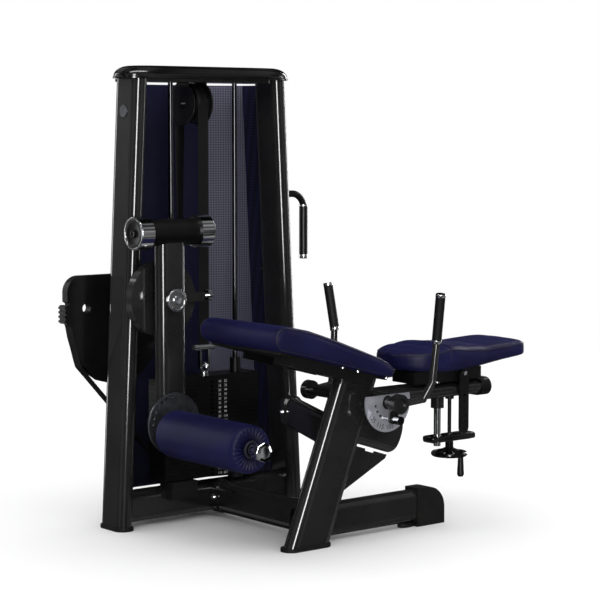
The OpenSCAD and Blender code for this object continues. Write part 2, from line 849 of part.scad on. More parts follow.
module handle_bars() color(CHARCOAL) in_frame() {
    for (side = [-1, 1]) {
        difference() {
            union() {
                handle_bar(side, 12.5);
                at_recline() along_y(34, bench_y + side * 239 - 13, bench_y + side * 239 + 13);
            }
            at_recline() along_y(shaft_r, -BIG, 0);
        }
    }
    // lug that carries the recline plunger
    difference() {
        hull() {
            at_recline() along_y(26, -786, -778);
            translate([recline_x - 14, 0, recline_z - 53]) along_y(16, -786, -778);
        }
        at_recline() along_y(30, -BIG, 0);
        translate([recline_x - 14, 0, recline_z - 53]) along_y(5 + fit, -BIG, 0);
    }
}

module hand_grips() color(RUBBER) in_frame() {
    for (side = [-1, 1])
        difference() {
            rod_between([378, bench_y + side * 272, 690], [370, bench_y + side * 298, 840], 17);
            rod_between([378, bench_y + side * 272, 690], [370, bench_y + side * 298, 840], 12.5);
        }
}

module recline_plunger() color(CHROME) in_frame() {
    translate([recline_x - 14, 0, recline_z - 53]) {
        along_y(5, -800, housing_y[0] - 6);
        along_y(15, -826, -800);
    }
}

/* backrest */
module back_plate() color(BLACK) in_frame() {
    difference() {
        translate([470, bench_y - 58, 506]) cube([330, 116, 42]);
        translate([476, bench_y - 50, 500]) cube([318, 100, 40]);
    }
    // graduated bar that shows the pad's setting
    difference() {
        translate([bar_x, bench_y - 66, 428]) rotate([90, 0, 0]) rotate([0, 0, 90])
            linear_extrude(8) oval(236, 44);
        for (z = [330:24:450])
            translate([bar_x, 0, z]) along_y(4, -BIG, 0);
    }
    translate([bar_x - 20, bench_y - 66, 530]) cube([40, 14, 12]);
}

module back_pad() color(NAVY) in_frame() {
    y = bench_y + 5;
    intersection() {
        translate([0, 0, 500]) linear_extrude(200) {
            translate([525, y]) circle(back_w / 2);
            translate([525, y - back_w / 2]) square([back_end_x - 525 - 24, back_w]);
            translate([back_end_x - 60, y - back_w / 2 + 24]) square([60, back_w - 48]);
            for (s = [-1, 1])
                translate([back_end_x - 24, y + s * (back_w / 2 - 24)]) circle(24);
        }
        translate([0, y + back_w, 0]) rotate([90, 0, 0]) linear_extrude(2 * back_w)
            polygon([[360, 566], [360, 610], [480, 626], [ridge_x, 642], [700, 632], [780, 630],
                [900, 638], [back_end_x, 634], [back_end_x, 580], [ridge_x, 549], [470, 556]]);
    }
}

module adjust_columns() color(CHROME) in_frame() {
    difference() {
        union() {
            translate([column_x, bench_y, 262]) cylinder(r = 13, h = 278);
            // cross plate that ties column and screw together
            translate([(column_x + screw_x) / 2 + 30, bench_y, 278]) oval_bar(215, 58, 22);
        }
        translate([screw_x, bench_y, 0]) cylinder(r = 7 + fit, h = BIG);
    }
}

module handwheel() color(CHROME) in_frame() {
    translate([screw_x, bench_y, 0]) {
        // screw, hub and rim
        translate([0, 0, 232]) cylinder(r = 7, h = 250);
        translate([0, 0, wheel_z]) cylinder(r = 15, h = 44);
        translate([0, 0, wheel_z]) rotate_extrude() translate([wheel_d / 2 - 9, 0]) circle(9);
        for (a = [0:120:240])
            rotate([0, 0, a]) rod_between([8, 0, wheel_z + 20], [wheel_d / 2 - 9, 0, wheel_z], 5);
        // pin that the crank grip turns on
        translate([wheel_d / 2 - 9, 0, 142]) cylinder(r = 5, h = wheel_z - 142);
    }
}

module crank_grip() color(BLACK) in_frame() {
    translate([screw_x + wheel_d / 2 - 9, bench_y, 136]) difference() {
        union() {
            translate([0, 0, 8]) cylinder(r1 = 13, r2 = 10, h = 64);
            cylinder(r1 = 9, r2 = 13, h = 8);
        }
        translate([0, 0, 5]) cylinder(r = 5 + fit, h = 100);
    }
}

/* entry handle on the right upright */
module entry_handle() color(BLACK) in_frame() {
    x0 = upright_x(1170) + tube_thin / 2;
    x1 = 450;
    bend = 55;
    difference() {
        translate([0, -20, 1168]) along_x(12.5, x0 - 25, x1 - bend);
        upright_envelope();
    }
    translate([x1 - bend, -20, 1168 - bend]) rotate([90, 0, 0]) rotate_extrude(angle = 90)
        translate([bend, 0]) circle(12.5);
    translate([x1, -20, 925]) cylinder(r = 12.5, h = 1168 - bend - 925);
    translate([x1, -20, 940]) cylinder(r = 16, h = 180);
}

uprights();
base_beam();
spine_beam();
foot_beam();
bench_leg();
pivot_stub();
recline_housing();
stub_gusset();
brace_tube();
joint_collars();
screws();
feet();
top_cap();
crossbar();
name_badge();
shroud();
shroud_strip();
guide_rods();
base_blocks();
resting_plates();
lifted_plates();
head_plate();
selector_rod();
selector_pin();
belt_clamp();
lift_belt();
return_belt();
cam_belt();
top_pulley();
pulley_cheeks();
bottom_pulley();
bottom_bracket();
bearing_housing();
cam_shaft();
index_disc();
belt_cam();
cam_belt_clamp();
lever();
pivot_cap();
counterweight();
weight_discs();
index_plunger();
ankle_sector();
ankle_crank();
roller_tube();
ankle_roller();
seat_pad();
seat_frame();
scale_disc();
back_carrier();
carrier_cap();
handle_bars();
hand_grips();
recline_plunger();
back_plate();
back_pad();
adjust_columns();
handwheel();
crank_grip();
entry_handle();
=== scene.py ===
import json
import math

import bmesh
import bpy
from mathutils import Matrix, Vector


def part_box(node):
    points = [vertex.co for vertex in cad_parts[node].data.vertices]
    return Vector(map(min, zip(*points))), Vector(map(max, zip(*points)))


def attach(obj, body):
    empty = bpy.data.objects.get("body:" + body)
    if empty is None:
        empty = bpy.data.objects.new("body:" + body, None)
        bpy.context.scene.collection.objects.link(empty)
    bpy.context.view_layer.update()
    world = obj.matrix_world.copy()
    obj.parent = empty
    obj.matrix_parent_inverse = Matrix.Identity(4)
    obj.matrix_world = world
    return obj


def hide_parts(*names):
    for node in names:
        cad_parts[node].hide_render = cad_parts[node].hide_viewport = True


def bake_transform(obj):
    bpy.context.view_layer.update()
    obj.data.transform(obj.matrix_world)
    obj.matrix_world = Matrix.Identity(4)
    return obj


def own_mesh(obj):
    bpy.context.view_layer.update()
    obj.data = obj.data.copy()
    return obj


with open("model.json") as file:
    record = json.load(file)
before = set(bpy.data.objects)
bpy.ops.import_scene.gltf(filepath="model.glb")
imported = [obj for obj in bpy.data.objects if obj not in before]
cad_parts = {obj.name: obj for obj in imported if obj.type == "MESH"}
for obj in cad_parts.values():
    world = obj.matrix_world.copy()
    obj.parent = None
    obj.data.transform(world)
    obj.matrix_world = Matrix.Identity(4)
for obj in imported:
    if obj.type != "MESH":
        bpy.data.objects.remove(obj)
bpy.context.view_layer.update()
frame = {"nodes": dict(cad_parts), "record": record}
nodes = frame["nodes"]

# The design is laid out in millimetres from the middle of the tower's footprint.
MIDDLE_X, MIDDLE_Y = 221.0, -331.875


def at(x, y, z):
    """A point of the design, in millimetres from the tower's middle, as metres of the frame."""
    return Vector(((x - MIDDLE_X) / 1000, (y - MIDDLE_Y) / 1000, z / 1000))


def linked(name, data):
    """A new object in the scene, made of data."""
    made = bpy.data.objects.new(name, data)
    bpy.context.scene.collection.objects.link(made)
    return made


def aimed(thing, place, way):
    """Stands a camera or lamp at place, in metres, and points it along way."""
    thing.location = place
    thing.rotation_mode = "QUATERNION"
    thing.rotation_quaternion = Vector(way).to_track_quat("-Z", "Y")


# ---------------------------------------------------------------- camera, floor and light

def camera():
    data = bpy.data.cameras.new("camera")
    data.lens, data.sensor_width = 115.6, 36
    data.clip_end = 60
    cam = linked("camera", data)
    aimed(cam, (-4.331, -5.298, 1.42), (0.6268, 0.7739, -0.0900))
    bpy.context.scene.camera = cam
    bpy.context.scene.view_settings.view_transform = "Standard"


def softbox(name, place, aim, width, height, watts, strip=True):
    """A studio lamp. Strips only draw highlights, and the overhead box only gives soft light."""
    data = bpy.data.lights.new(name, "AREA")
    data.shape, data.size, data.size_y, data.energy = "RECTANGLE", width, height, watts
    lamp = linked(name, data)
    aimed(lamp, place, Vector(aim) - Vector(place))
    lamp.visible_glossy, lamp.visible_diffuse = strip, not strip


def studio():
    deselect()
    bpy.ops.mesh.primitive_plane_add(size=40, location=(0, 0, 0))
    floor = bpy.context.object
    floor.name = "floor"
    floor.data.materials.append(pale_floor())
    # polished parts mirror the strip lights, not the white floor
    floor.visible_glossy = False
    softbox("overhead_softbox", (0.0, 0.0, 6.5), (0, 0, 0), 22.0, 22.0, 2200, strip=False)
    softbox("front_strip", (-4.45, -6.0, 2.1), (0, 0, 0.8), 1.5, 4.6, 560)
    softbox("right_strip", (5.6, -1.6, 1.6), (0.2, 0, 0.7), 0.4, 3.6, 30)
    softbox("rear_strip", (6.0, 1.6, 2.1), (0, 0, 0.8), 1.0, 4.6, 200)
    softbox("left_strip", (-2.4, 6.0, 1.6), (0, 0, 0.7), 1.0, 4.6, 70)
    softbox("top_strip", (-1.2, -1.6, 5.0), (0, 0, 0.5), 4.5, 0.5, 120)
    world = bpy.data.worlds.new("studio")
    bpy.context.scene.world = world
    world.use_nodes = True
    tree = world.node_tree
    background = tree.nodes["Background"]
    background.inputs["Color"].default_value = (1, 1, 1, 1)
    path = node(tree, "ShaderNodeLightPath")
    # the backdrop looks white; the dim room behind the camera has dark flags and paler walls
    around = node(tree, "ShaderNodeTexCoord").outputs["Generated"]
    room = node(tree, "ShaderNodeTexNoise", [(around, "Vector")], Scale=2.6, Detail=1.0)
    flags = node(tree, "ShaderNodeMapRange", [(room.outputs["Fac"], "Value")],
                 From_Min=0.44, From_Max=0.6, To_Min=0.0, To_Max=0.3,
                 interpolation_type="SMOOTHSTEP")
    level = node(tree, "ShaderNodeMix",
                 [(path.outputs["Is Camera Ray"], 0), (flags.outputs["Result"], 2)])
    level.inputs[3].default_value = 1.0
    tree.links.new(level.outputs[0], background.inputs["Strength"])


# ---------------------------------------------------------------- materials

def linear(code):
    """sRGB hex to the linear colour that shaders take."""
    parts = [int(code[i:i + 2], 16) / 255 for i in (1, 3, 5)]
    return [c / 12.92 if c <= 0.04045 else ((c + 0.055) / 1.055) ** 2.4 for c in parts] + [1]


def node(tree, kind, links=(), **settings):
    """Adds a node, sets its sockets and properties, and links (output socket, input name) pairs."""
    made = tree.nodes.new(kind)
    for name, value in settings.items():
        if hasattr(made, name):
            setattr(made, name, value)
        else:
            made.inputs[name.replace("_", " ")].default_value = value
    for source, target in links:
        tree.links.new(source, made.inputs[target])
    return made


def finish_named(name, colour, roughness, metallic=0.0, ior=1.5, gloss=0.5):
    """A principled finish, its tree, its shader and its object coordinates."""
    made = bpy.data.materials.new(name)
    made.use_nodes = True
    tree = made.node_tree
    shader = tree.nodes["Principled BSDF"]
    shader.inputs["Base Color"].default_value = linear(colour)
    shader.inputs["Roughness"].default_value = roughness
    shader.inputs["Metallic"].default_value = metallic
    if metallic == 0:
        shader.inputs["IOR"].default_value = ior
    shader.inputs["Specular IOR Level"].default_value = gloss
    place = node(tree, "ShaderNodeTexCoord").outputs["Object"]
    return made, tree, shader, place


def mottle(tree, shader, place, dark, light, scale):
    """Colour that drifts between two tones, as real coatings do."""
    cloud = node(tree, "ShaderNodeTexNoise", [(place, "Vector")], Scale=scale, Detail=4.0)
    ramp = node(tree, "ShaderNodeValToRGB", [(cloud.outputs["Fac"], "Fac")])
    low, high = ramp.color_ramp.elements
    low.position, high.position = 0.35, 0.7
    low.color, high.color = linear(dark), linear(light)
    tree.links.new(ramp.outputs["Color"], shader.inputs["Base Color"])


def relief(tree, shader, height, strength, distance):
    """Bumps the surface by a height socket. Distance is the relief's depth in metres."""
    bump = node(tree, "ShaderNodeBump", [(height, "Height")], Strength=strength, Distance=distance)
    tree.links.new(bump.outputs["Normal"], shader.inputs["Normal"])


def grain(tree, shader, place, scale, strength, distance, kind="ShaderNodeTexNoise"):
    """Fine relief. Scale is 1 / the grain's width in metres."""
    pattern = node(tree, kind, [(place, "Vector")], Scale=scale)
    relief(tree, shader, pattern.outputs[0], strength, distance)


def grooves(tree, shader, place, across, scale, strength, distance):
    """Even grooves square to one axis. They are 0.314 / scale metres apart."""
    wave = node(tree, "ShaderNodeTexWave", [(place, "Vector")], bands_direction=across, Scale=scale)
    relief(tree, shader, wave.outputs["Fac"], strength, distance)


def rough_patches(tree, shader, place, low, high, scale):
    """Handled and wiped areas are a little smoother than the rest."""
    cloud = node(tree, "ShaderNodeTexNoise", [(place, "Vector")], Scale=scale, Detail=3.0)
    spread = node(tree, "ShaderNodeMapRange", [(cloud.outputs["Fac"], "Value")],
                  To_Min=low, To_Max=high)
    tree.links.new(spread.outputs["Result"], shader.inputs["Roughness"])


def pale_floor():
    # seamless studio floor: matt, nearly white
    made, tree, shader, place = finish_named("studio_floor", "#f6f6f6", 0.9)
    # between 2.6 m and 6 m from the machine the floor runs into the white backdrop
    far = node(tree, "ShaderNodeVectorMath", [(place, 0)], operation="LENGTH")
    fade = node(tree, "ShaderNodeMapRange", [(far.outputs["Value"], "Value")],
                From_Min=2.6, From_Max=6.0, interpolation_type="SMOOTHSTEP")
    glow = node(tree, "ShaderNodeEmission", Color=(1, 1, 1, 1), Strength=1.0)
    mixed = node(tree, "ShaderNodeMixShader",
                 [(fade.outputs["Result"], 0), (shader.outputs[0], 1), (glow.outputs[0], 2)])
    tree.links.new(mixed.outputs[0], tree.nodes["Material Output"].inputs["Surface"])
    return made


def charcoal_powder_coat():
    # baked polyester powder: near-black, satin to gloss, with a faint orange peel
    made, tree, shader, place = finish_named("charcoal_powder_coat", "#242423", 0.12, ior=1.6,
                                             gloss=0.4)
    mottle(tree, shader, place, "#212121", "#282727", 9)
    rough_patches(tree, shader, place, 0.1, 0.15, 14)
    # orange peel is about 3 mm wide and a few hundredths of a millimetre deep
    grain(tree, shader, place, 330, 0.02, 0.00004)
    return made


def black_plate_paint():
    # sprayed enamel on plate steel: dull black
    made, tree, shader, place = finish_named("black_plate_enamel", "#070707", 0.4, gloss=0.2)
    mottle(tree, shader, place, "#050505", "#0b0b0a", 16)
    grain(tree, shader, place, 900, 0.1, 0.0004)
    return made


def gloss_lid_plastic():
    # polished ABS lid: deep black and glossy
    made, tree, shader, place = finish_named("gloss_black_abs", "#0e0e0e", 0.16, ior=1.55)
    rough_patches(tree, shader, place, 0.12, 0.2, 6)
    grain(tree, shader, place, 60, 0.02, 0.002)
    return made


def moulded_black_plastic():
    # moulded ABS with a fine spark-eroded texture, about 0.8 mm
    made, tree, shader, place = finish_named("moulded_black_abs", "#090909", 0.36, gloss=0.3)
    mottle(tree, shader, place, "#070707", "#0c0c0c", 20)
    grain(tree, shader, place, 1250, 0.15, 0.0003, "ShaderNodeTexVoronoi")
    return made


def black_rubber():
    # moulded rubber: dull, a little dusty
    made, tree, shader, place = finish_named("black_rubber", "#0b0b0b", 0.68, gloss=0.25)
    mottle(tree, shader, place, "#080808", "#11110f", 30)
    grain(tree, shader, place, 800, 0.2, 0.0004)
    return made


def grip_foam():
    # dense grip rubber with fine grooves round it, 4 mm apart
    made, tree, shader, place = finish_named("grip_rubber", "#080808", 0.6, gloss=0.25)
    grooves(tree, shader, place, "Z", 80, 0.35, 0.0006)
    return made


def belt_weave():
    # polyurethane belt over steel cords: flat black with fine lengthwise ribs, 6 mm apart
    made, tree, shader, place = finish_named("ribbed_black_belt", "#060606", 0.6, gloss=0.2)
    grooves(tree, shader, place, "X", 52, 0.3, 0.0005)
    return made


def bright_chrome():
    # plated steel: mirror bright with faint wipe marks
    made, tree, shader, place = finish_named("bright_chrome", "#dcdde0", 0.08, metallic=1.0)
    rough_patches(tree, shader, place, 0.05, 0.16, 25)
    grain(tree, shader, place, 500, 0.03, 0.0003)
    return made


def satin_aluminium():
    # blasted and anodised sheet: pale grey, soft sheen, fine 0.5 mm grain
    made, tree, shader, place = finish_named("satin_anodised_aluminium", "#a9aab2", 0.4,
                                             metallic=0.45)
    mottle(tree, shader, place, "#a0a1aa", "#b3b4bb", 22)
    grain(tree, shader, place, 2000, 0.08, 0.0002)
    return made


def perforated_sheet(name, face, hole_shade, pitch):
    """Sheet steel punched with rows of round holes, pitch metres apart. Real ones are 3 mm
    across and 5 mm apart, and these are about twice as coarse, so that they show. The holes are
    not cut: each is a dot of painted shade, for the dim inside seen through it."""
    made, tree, shader, place = finish_named(name, face, 0.5, gloss=0.2)
    upright = node(tree, "ShaderNodeMapping", [(place, "Vector")], Rotation=(math.pi / 2, 0, 0),
                   Scale=(1 / pitch, 1 / pitch, 1 / pitch))
    dots = node(tree, "ShaderNodeTexVoronoi", [(upright.outputs["Vector"], "Vector")], Scale=1.0,
                Randomness=0.0, voronoi_dimensions="2D")
    edge = node(tree, "ShaderNodeMapRange", [(dots.outputs["Distance"], "Value")],
                From_Min=0.26, From_Max=0.34)
    # where the dots fall, the colour is painted shade of the dark inside seen through the holes
    tone = node(tree, "ShaderNodeMix", [(edge.outputs["Result"], "Factor")], data_type="RGBA")
    tone.inputs[6].default_value, tone.inputs[7].default_value = linear(hole_shade), linear(face)
    tree.links.new(tone.outputs[2], shader.inputs["Base Color"])
    relief(tree, shader, edge.outputs["Result"], 0.4, 0.001)
    return made


def navy_vinyl():
    # calendered vinyl upholstery: dark navy, leather grain about 1.2 mm wide, soft sheen
    made, tree, shader, place = finish_named("navy_upholstery_vinyl", "#10103c", 0.48, gloss=0.14)
    mottle(tree, shader, place, "#0d0d36", "#131343", 7)
    cells = node(tree, "ShaderNodeTexVoronoi", [(place, "Vector")], Scale=800.0, feature="F1")
    pebbles = node(tree, "ShaderNodeBump", [(cells.outputs["Distance"], "Height")],
                   Strength=0.22, Distance=0.0004)
    # the foam under the cover makes it rise and dip over about 40 mm
    swell = node(tree, "ShaderNodeTexNoise", [(place, "Vector")], Scale=26.0, Detail=2.0)
    soft = node(tree, "ShaderNodeBump",
                [(swell.outputs["Fac"], "Height"), (pebbles.outputs["Normal"], "Normal")],
                Strength=0.12, Distance=0.004)
    tree.links.new(soft.outputs["Normal"], shader.inputs["Normal"])
    return made


def seam_thread():
    # bonded polyester thread and welt cord, a shade darker than the vinyl
    made, tree, shader, place = finish_named("dark_seam_welt", "#0c0c26", 0.6)
    grain(tree, shader, place, 1500, 0.3, 0.0003)
    return made


def dark_polish():
    # blackened and polished steel: dark mirror with soft bright edges
    made, tree, shader, place = finish_named("blackened_polished_steel", "#3a3a3c", 0.16,
                                             metallic=1.0)
    rough_patches(tree, shader, place, 0.1, 0.24, 25)
    grain(tree, shader, place, 500, 0.03, 0.0002)
    return made


def brushed_steel():
    # ground steel plate: mid grey with a fine grain about 0.6 mm wide
    made, tree, shader, place = finish_named("ground_steel_plate", "#5c5d62", 0.3, metallic=0.8)
    mottle(tree, shader, place, "#505156", "#686a70", 30)
    grain(tree, shader, place, 1700, 0.1, 0.0002)
    return made


def white_print():
    # screen printed numerals
    made, tree, shader, place = finish_named("white_screen_print", "#d8d8d8", 0.5)
    mottle(tree, shader, place, "#cfcfcf", "#e2e2e2", 60)
    return made


def black_print():
    # screen printed numerals on the pale disc
    made, tree, shader, place = finish_named("black_screen_print", "#161616", 0.5)
    mottle(tree, shader, place, "#101010", "#1c1c1c", 60)
    return made


PAINT = charcoal_powder_coat()
PLATE = black_plate_paint()
LID = gloss_lid_plastic()
PLASTIC = moulded_black_plastic()
RUBBER = black_rubber()
GRIP = grip_foam()
BELT = belt_weave()
CHROME = bright_chrome()
ALUMINIUM = satin_aluminium()
# each sheet's second colour is painted shade: the dim inside seen through its holes
SHEET = perforated_sheet("navy_perforated_sheet", "#191940", "#080814", 0.010)
STRIP = perforated_sheet("grey_perforated_sheet", "#6c6c80", "#26263c", 0.009)
VINYL = navy_vinyl()
WELT = seam_thread()
WHEEL = dark_polish()
STEEL = brushed_steel()
WHITE = white_print()
BLACK = black_print()

FINISH_OF_SLOT = {
    "frame_paint": PAINT, "stack_paint": PLATE, "sheet_blue": SHEET, "sheet_light": STRIP,
    "black_plastic": PLASTIC, "gloss_black": LID, "rubber": RUBBER, "belt": BELT,
    "chrome": CHROME, "aluminium": ALUMINIUM, "upholstery": VINYL}
# parts whose look differs from their slot's
FINISH_OF_NODE = {"hand_grips": GRIP, "handwheel": WHEEL, "guide_rods": WHEEL,
                  "ankle_sector": STEEL, "name_badge": STEEL}


def coat(piece, finish):
    piece.data.materials.clear()
    piece.data.materials.append(finish)


def finish_cad():
    for part in frame["record"]["subparts"]:
        name = part["node"]
        coat(nodes[name], FINISH_OF_NODE.get(name, FINISH_OF_SLOT[part["material_slot"]]))


# ---------------------------------------------------------------- shared modelling steps

def deselect():
    """Leaves nothing selected and no piece in edit mode."""
    if bpy.context.object and bpy.context.object.mode != "OBJECT":
        bpy.ops.object.mode_set(mode="OBJECT")
    bpy.ops.object.select_all(action="DESELECT")


def only(piece):
    """Selects one piece alone, so that the next operator acts on it."""
    deselect()
    piece.select_set(True)
    bpy.context.view_layer.objects.active = piece
    return piece


def settle(piece, name, finish, body, angle=35):
    """Names a finished piece, puts its place in its mesh, shades it and hands it to its body."""
    only(piece)
    bpy.ops.object.transform_apply(location=True, rotation=True, scale=True)
    bpy.ops.object.shade_smooth_by_angle(angle=math.radians(angle))
    piece.name = piece.data.name = name
    coat(piece, finish)
    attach(piece, body)
    return piece


def apply_all(piece):
    """Applies a piece's modifiers in their order."""
    only(piece)
    for modifier in list(piece.modifiers):
        bpy.ops.object.modifier_apply(modifier=modifier.name)


def rounded(piece, width, segments=2, angle=40):
    """Rounds the edges that are sharper than angle, by width in metres."""
    edge = piece.modifiers.new("edge", "BEVEL")
    edge.width, edge.segments = width, segments
    edge.limit_method, edge.angle_limit = "ANGLE", math.radians(angle)
    apply_all(piece)


def along(piece, direction):
    """Turns a piece whose own axis is +Z so that it points along direction."""
    piece.rotation_mode = "QUATERNION"
    piece.rotation_quaternion = Vector(direction).to_track_quat("Z", "Y")


def pick_caps(piece, top_only=False):
    """In edit mode, selects a cylinder's end faces, or only its upper one."""
    mesh = bmesh.from_edit_mesh(piece.data)
    for face in mesh.faces:
        face.select_set(len(face.verts) > 4 and (face.normal.z > 0.5 or not top_only))
    bmesh.update_edit_mesh(piece.data)


def ring(name, start, end, inner, outer, finish, body, edge=0.0012):
    """A turned collar between two points of the design, with rounded rims. Its radii are in
    millimetres, and it is solid where inner is 0."""
    a, b = at(*start), at(*end)
    deselect()
    bpy.ops.mesh.primitive_cylinder_add(vertices=48, radius=outer / 1000, depth=(b - a).length,
                                        location=(a + b) / 2)
    piece = bpy.context.object
    along(piece, b - a)
    if inner:
        bpy.ops.object.mode_set(mode="EDIT")
        pick_caps(piece)
        bpy.ops.mesh.inset(thickness=(outer - inner) / 1000)
        bpy.ops.mesh.bridge_edge_loops()
        bpy.ops.object.mode_set(mode="OBJECT")
    rounded(piece, edge, 3)
    return settle(piece, name, finish, body)


def lofted(name, loops):
    """A closed mesh through loops of equally many points, in metres."""
    count = len(loops[0])
    points = [p for loop in loops for p in loop]
    faces = []
    for i in range(len(loops) - 1):
        here, ahead = i * count, (i + 1) * count
        for j in range(count):
            k = (j + 1) % count
            faces.append((here + j, here + k, ahead + k, ahead + j))
    faces.append(tuple(reversed(range(count))))
    faces.append(tuple(range(len(points) - count, len(points))))
    data = bpy.data.meshes.new(name)
    data.from_pydata([tuple(p) for p in points], [], faces)
    piece = linked(name, data)
    only(piece)
    bpy.ops.object.mode_set(mode="EDIT")
    bpy.ops.mesh.select_all(action="SELECT")
    bpy.ops.mesh.normals_make_consistent(inside=False)
    bpy.ops.object.mode_set(mode="OBJECT")
    return piece


# The cushions' covers are tight: they swell for a few steps, and by no more than 3.5 mm.
COVER_PRESSURE, COVER_STEPS, COVER_SWELL = 1.6, 14, 0.0035


def inflate(piece, voxel):
    """Lets a cover swell over its foam, and holds every point near where it started."""
    remesh = piece.modifiers.new("skin", "REMESH")
    remesh.mode, remesh.voxel_size = "VOXEL", voxel
    apply_all(piece)
    start = [v.co.copy() for v in piece.data.vertices]
    cloth = piece.modifiers.new("cover", "CLOTH")
    cloth.settings.use_pressure = True
    cloth.settings.uniform_pressure_force = COVER_PRESSURE
    cloth.settings.effector_weights.gravity = 0
    cloth.settings.quality = 4
    for step in range(1, COVER_STEPS + 1):
        bpy.context.scene.frame_set(step)
    apply_all(piece)
    bpy.context.scene.frame_set(1)
    for v, s in zip(piece.data.vertices, start):
        moved = v.co - s
        if moved.length > COVER_SWELL:
            v.co = s + moved * (COVER_SWELL / moved.length)
    smooth = piece.modifiers.new("relax", "SMOOTH")
    smooth.factor, smooth.iterations = 0.5, 12
    fine = piece.modifiers.new("fine", "SUBSURF")
    fine.levels = fine.render_levels = 1
    apply_all(piece)
    return piece


def sew(piece, away, depth, width):
    """Pulls the cover in along a seam. away(point) is a point's distance from it, in metres."""
    mesh = bmesh.new()
    mesh.from_mesh(piece.data)
    mesh.normal_update()
    for v in mesh.verts:
        pull = math.exp(-(away(v.co) / width) ** 2)
        if pull > 0.02:
            v.co -= v.normal * depth * pull
    mesh.to_mesh(piece.data)
    mesh.free()


def welt(name, cushion, points, radius, body):
    """A closed welt cord on a cushion's cover, next to points of the row frame."""
    points = [cushion.closest_point_on_mesh(p)[1] for p in points]
    curve = bpy.data.curves.new(name, "CURVE")
    curve.dimensions, curve.bevel_depth, curve.bevel_resolution = "3D", radius, 2
    line = curve.splines.new("POLY")
    line.points.add(len(points) - 1)
    for p, q in zip(line.points, points):
        p.co = (*q, 1)
    line.use_cyclic_u = True
    only(linked(name, curve))
    bpy.ops.object.convert(target="MESH")
    return settle(bpy.context.object, name, WELT, body, 60)


# ---------------------------------------------------------------- upholstery

SEAT_NEAR, SEAT_FAR = -778, -342
# the seat's side seams, 6 mm in from each side
SEAT_SEAMS = (("near", SEAT_NEAR + 6), ("far", SEAT_FAR - 6))
ROLL_X, ROLL_Z, ROLL_RADIUS = -235, 729, 43


def seat_outline(inset, steps=22):
    """Side outline of the seat, in millimetres: from below its front roll up and round it, back
    over the top, and forward underneath."""
    front = []
    for k in range(steps + 1):
        a = math.radians(258 - k * (258 - 76) / steps)
        front.append((ROLL_X + (ROLL_RADIUS - inset) * math.cos(a),
                      ROLL_Z + (ROLL_RADIUS - inset) * math.sin(a)))
    i = inset
    top = [(-120, 748 - i), (-60, 728 - i), (0, 707 - i), (90, 673 - i), (185, 636 - i),
           (222, 616 - i), (243 - i, 602 - i), (249 - i, 588)]
    under = [(238 - i, 560 + i), (120, 591 + i), (0, 623 + i), (-120, 655 + i)]
    return front + top + under


def seat_cushion():
    """Long seat pad with a roll at its front edge. It starts a little slim and swells to size."""
    outline = seat_outline(3)
    loops = [[at(x, y, z) for x, z in outline]
             for y in (SEAT_NEAR + 4, (SEAT_NEAR + SEAT_FAR) / 2, SEAT_FAR - 4)]
    piece = inflate(lofted("seat_cushion", loops), 0.006)
    for tag, side in SEAT_SEAMS:
        line = at(0, side, 0).y
        sew(piece, lambda p, line=line: p.y - line, 0.0022, 0.004)
    settle(piece, "seat_cushion", VINYL, "frame", 70)
    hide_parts("seat_pad")
    for tag, side in SEAT_SEAMS:
        path = [at(x, side, z) for x, z in seat_outline(3.4, 40)]
        welt(f"seat_welt_{tag}", piece, path, 0.0016, "frame")


BACK_Y, BACK_HALF = -555, 150
NOSE_END, TAIL_START, TAIL_RADIUS = 548, 925, 30


def back_half_width(x):
    """Half the back pad's width at x: a rounded nose, straight sides, small rear corners."""
    if x < NOSE_END:
        return BACK_HALF * max(0, 1 - abs((NOSE_END - x) / BACK_HALF) ** 2.2) ** 0.5
    if x > TAIL_START:
        return BACK_HALF - TAIL_RADIUS + math.sqrt(max(0, TAIL_RADIUS ** 2 - (x - TAIL_START) ** 2))
    return BACK_HALF


def blend_table(x, table):
    """Smooth value between the rows of a table of (x, value)."""
    for (x0, v0), (x1, v1) in zip(table, table[1:]):
        if x <= x1:
            t = max(0.0, min(1.0, (x - x0) / (x1 - x0)))
            t = t * t * (3 - 2 * t)
            return v0 + (v1 - v0) * t
    return table[-1][1]


# heights of the back pad's upper and lower side along x, in millimetres
BACK_TOP = [(398, 622), (430, 628), (520, 637), (590, 645), (680, 637), (750, 632), (840, 637),
            (960, 642)]
BACK_UNDER = [(398, 563), (470, 556), (590, 549), (960, 582)]


def squared(value, power):
    """A cosine or sine with a power below 1, which swells an ellipse towards a box."""
    return math.copysign(abs(value) ** power, value)


def back_section(x, points=60, inset=2):
    """Cross section of the back pad: crowned on top, rounded sides, flat under."""
    w = max(4, back_half_width(x) - inset)
    top, under = blend_table(x, BACK_TOP) - inset, blend_table(x, BACK_UNDER) + inset
    middle, half = (top + under) / 2, (top - under) / 2
    loop = []
    for i in range(points):
        a = 2 * math.pi * i / points
        y = w * squared(math.cos(a), 0.2)
        z = half * squared(math.sin(a), 0.2)
        # the top falls 6 mm from its crown to its sides
        drop = 6 * (y / BACK_HALF) ** 2 if math.sin(a) > 0 else 0
        loop.append(at(x, BACK_Y + y, middle + z - drop))
    return loop


def back_seam(p):
    """Distance from the seam that crosses the pad where its nose begins."""
    return p.x - at(590 + (p.y - at(0, BACK_Y, 0).y) * 120, 0, 0).x


